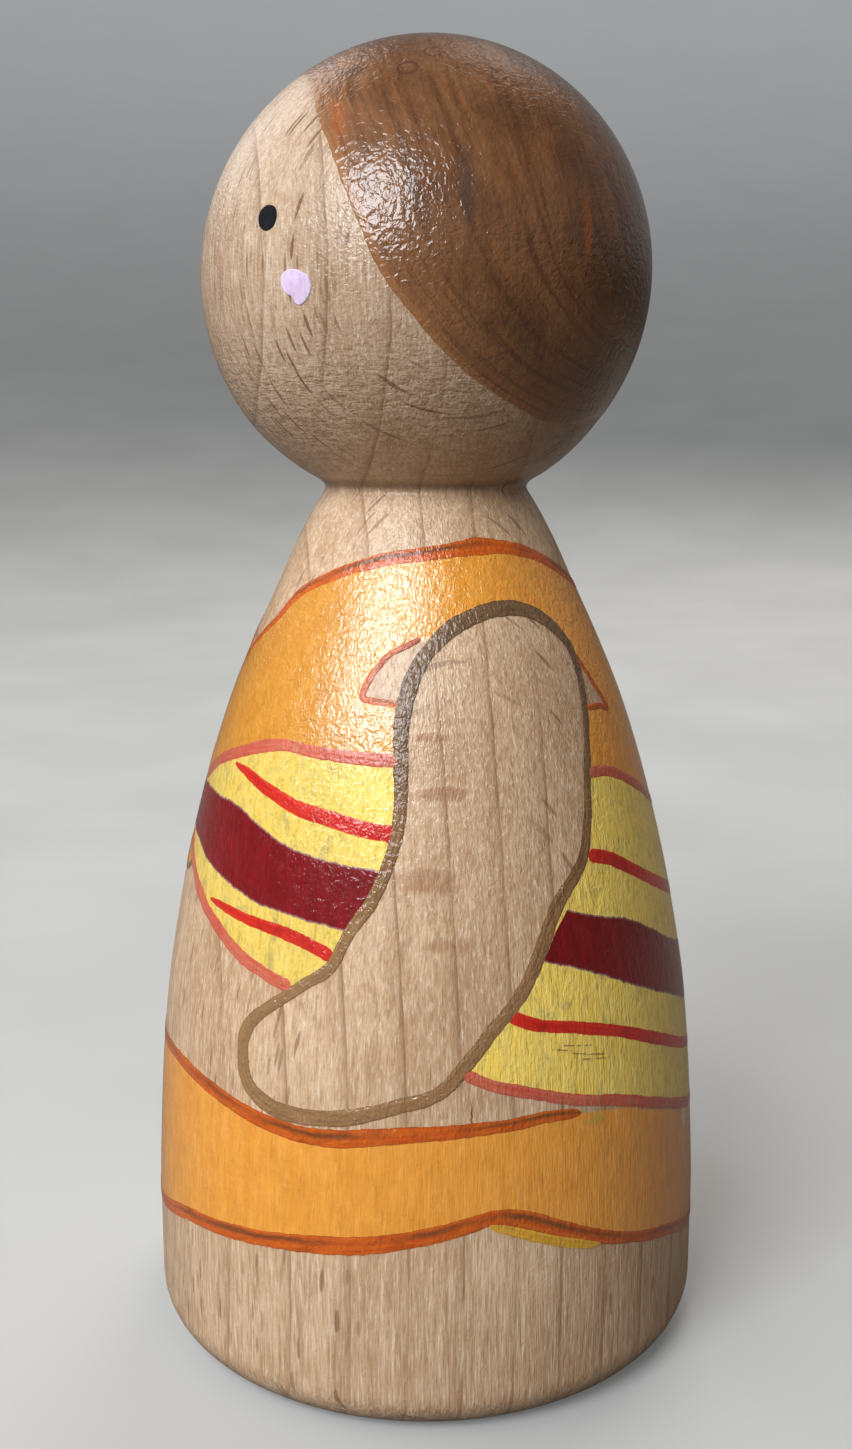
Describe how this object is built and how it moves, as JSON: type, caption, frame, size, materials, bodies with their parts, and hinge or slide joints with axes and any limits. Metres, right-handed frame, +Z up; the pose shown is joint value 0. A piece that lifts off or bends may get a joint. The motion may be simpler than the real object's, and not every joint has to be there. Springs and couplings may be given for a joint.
{
  "type": "painted wooden peg doll",
  "caption": "Lathe-turned wooden peg doll: ball head, pinched neck, bell body on a flat base, with a hand-painted figure in a striped wrap built up in thin paint films.",
  "frame": {"origin": "centre of the flat base", "axes": "+Z up along the turning axis, the painted face looks along -Y, the figure's left side is +X"},
  "size_m": [0.04, 0.0404, 0.0901],
  "materials": {
    "beech": "turned, sanded, satin varnish over a vertical growth-line figure",
    "hair_brown": "thin brown acrylic under gloss varnish, streaky",
    "eye_black": "black acrylic dot",
    "cheek_pink": "dry dab of pale pink acrylic",
    "orange": "two thin coats of orange acrylic under gloss varnish",
    "orange_outline": "orange-red brush line with a dark brown core",
    "brown_outline": "translucent brown brush line",
    "yellow": "thin yellow acrylic, wood showing through",
    "bright_red": "thin bright red brush line",
    "dark_red": "dark red acrylic stripe",
    "pink_outline": "translucent pink-red brush line",
    "amber": "amber streak left under the outline"
  },
  "bodies": {
    "root": {"wood_blank": "beech", "hair_paint": "hair_brown", "eye_left": "eye_black", "cheek_left": "cheek_pink", "sleeve_left_paint": "orange", "neckline_outline_left": "orange_outline", "sleeve_edge_front_left": "orange_outline", "sleeve_edge_back_left": "orange_outline", "upper_stripe_front_left": "bright_red", "lower_stripe_front_left": "bright_red", "arm_outline_left": "brown_outline", "hip_lower_outline_left": "orange_outline", "hip_under_streak_left": "amber", "eye_right": "eye_black", "cheek_right": "cheek_pink", "sleeve_right_paint": "orange", "neckline_outline_right": "orange_outline", "sleeve_edge_front_right": "orange_outline", "sleeve_edge_back_right": "orange_outline", "upper_stripe_front_right": "bright_red", "lower_stripe_front_right": "bright_red", "arm_outline_right": "brown_outline", "hip_lower_outline_right": "orange_outline", "hip_under_streak_right": "amber", "top_front_paint": "orange", "top_back_paint": "orange", "top_hem_paint": "orange", "top_hem_outline": "brown_outline", "wrap_front_paint": "yellow", "wrap_back_paint": "yellow", "broad_stripe_front": "dark_red", "broad_stripe_back": "dark_red", "upper_stripe_back": "bright_red", "lower_stripe_back": "bright_red", "wrap_upper_outline_front": "pink_outline", "wrap_upper_outline_back": "pink_outline", "wrap_lower_outline_front": "pink_outline", "wrap_lower_outline_back": "pink_outline", "hip_band_paint": "orange", "hip_upper_outline": "orange_outline"}
  },
  "joints": []
}
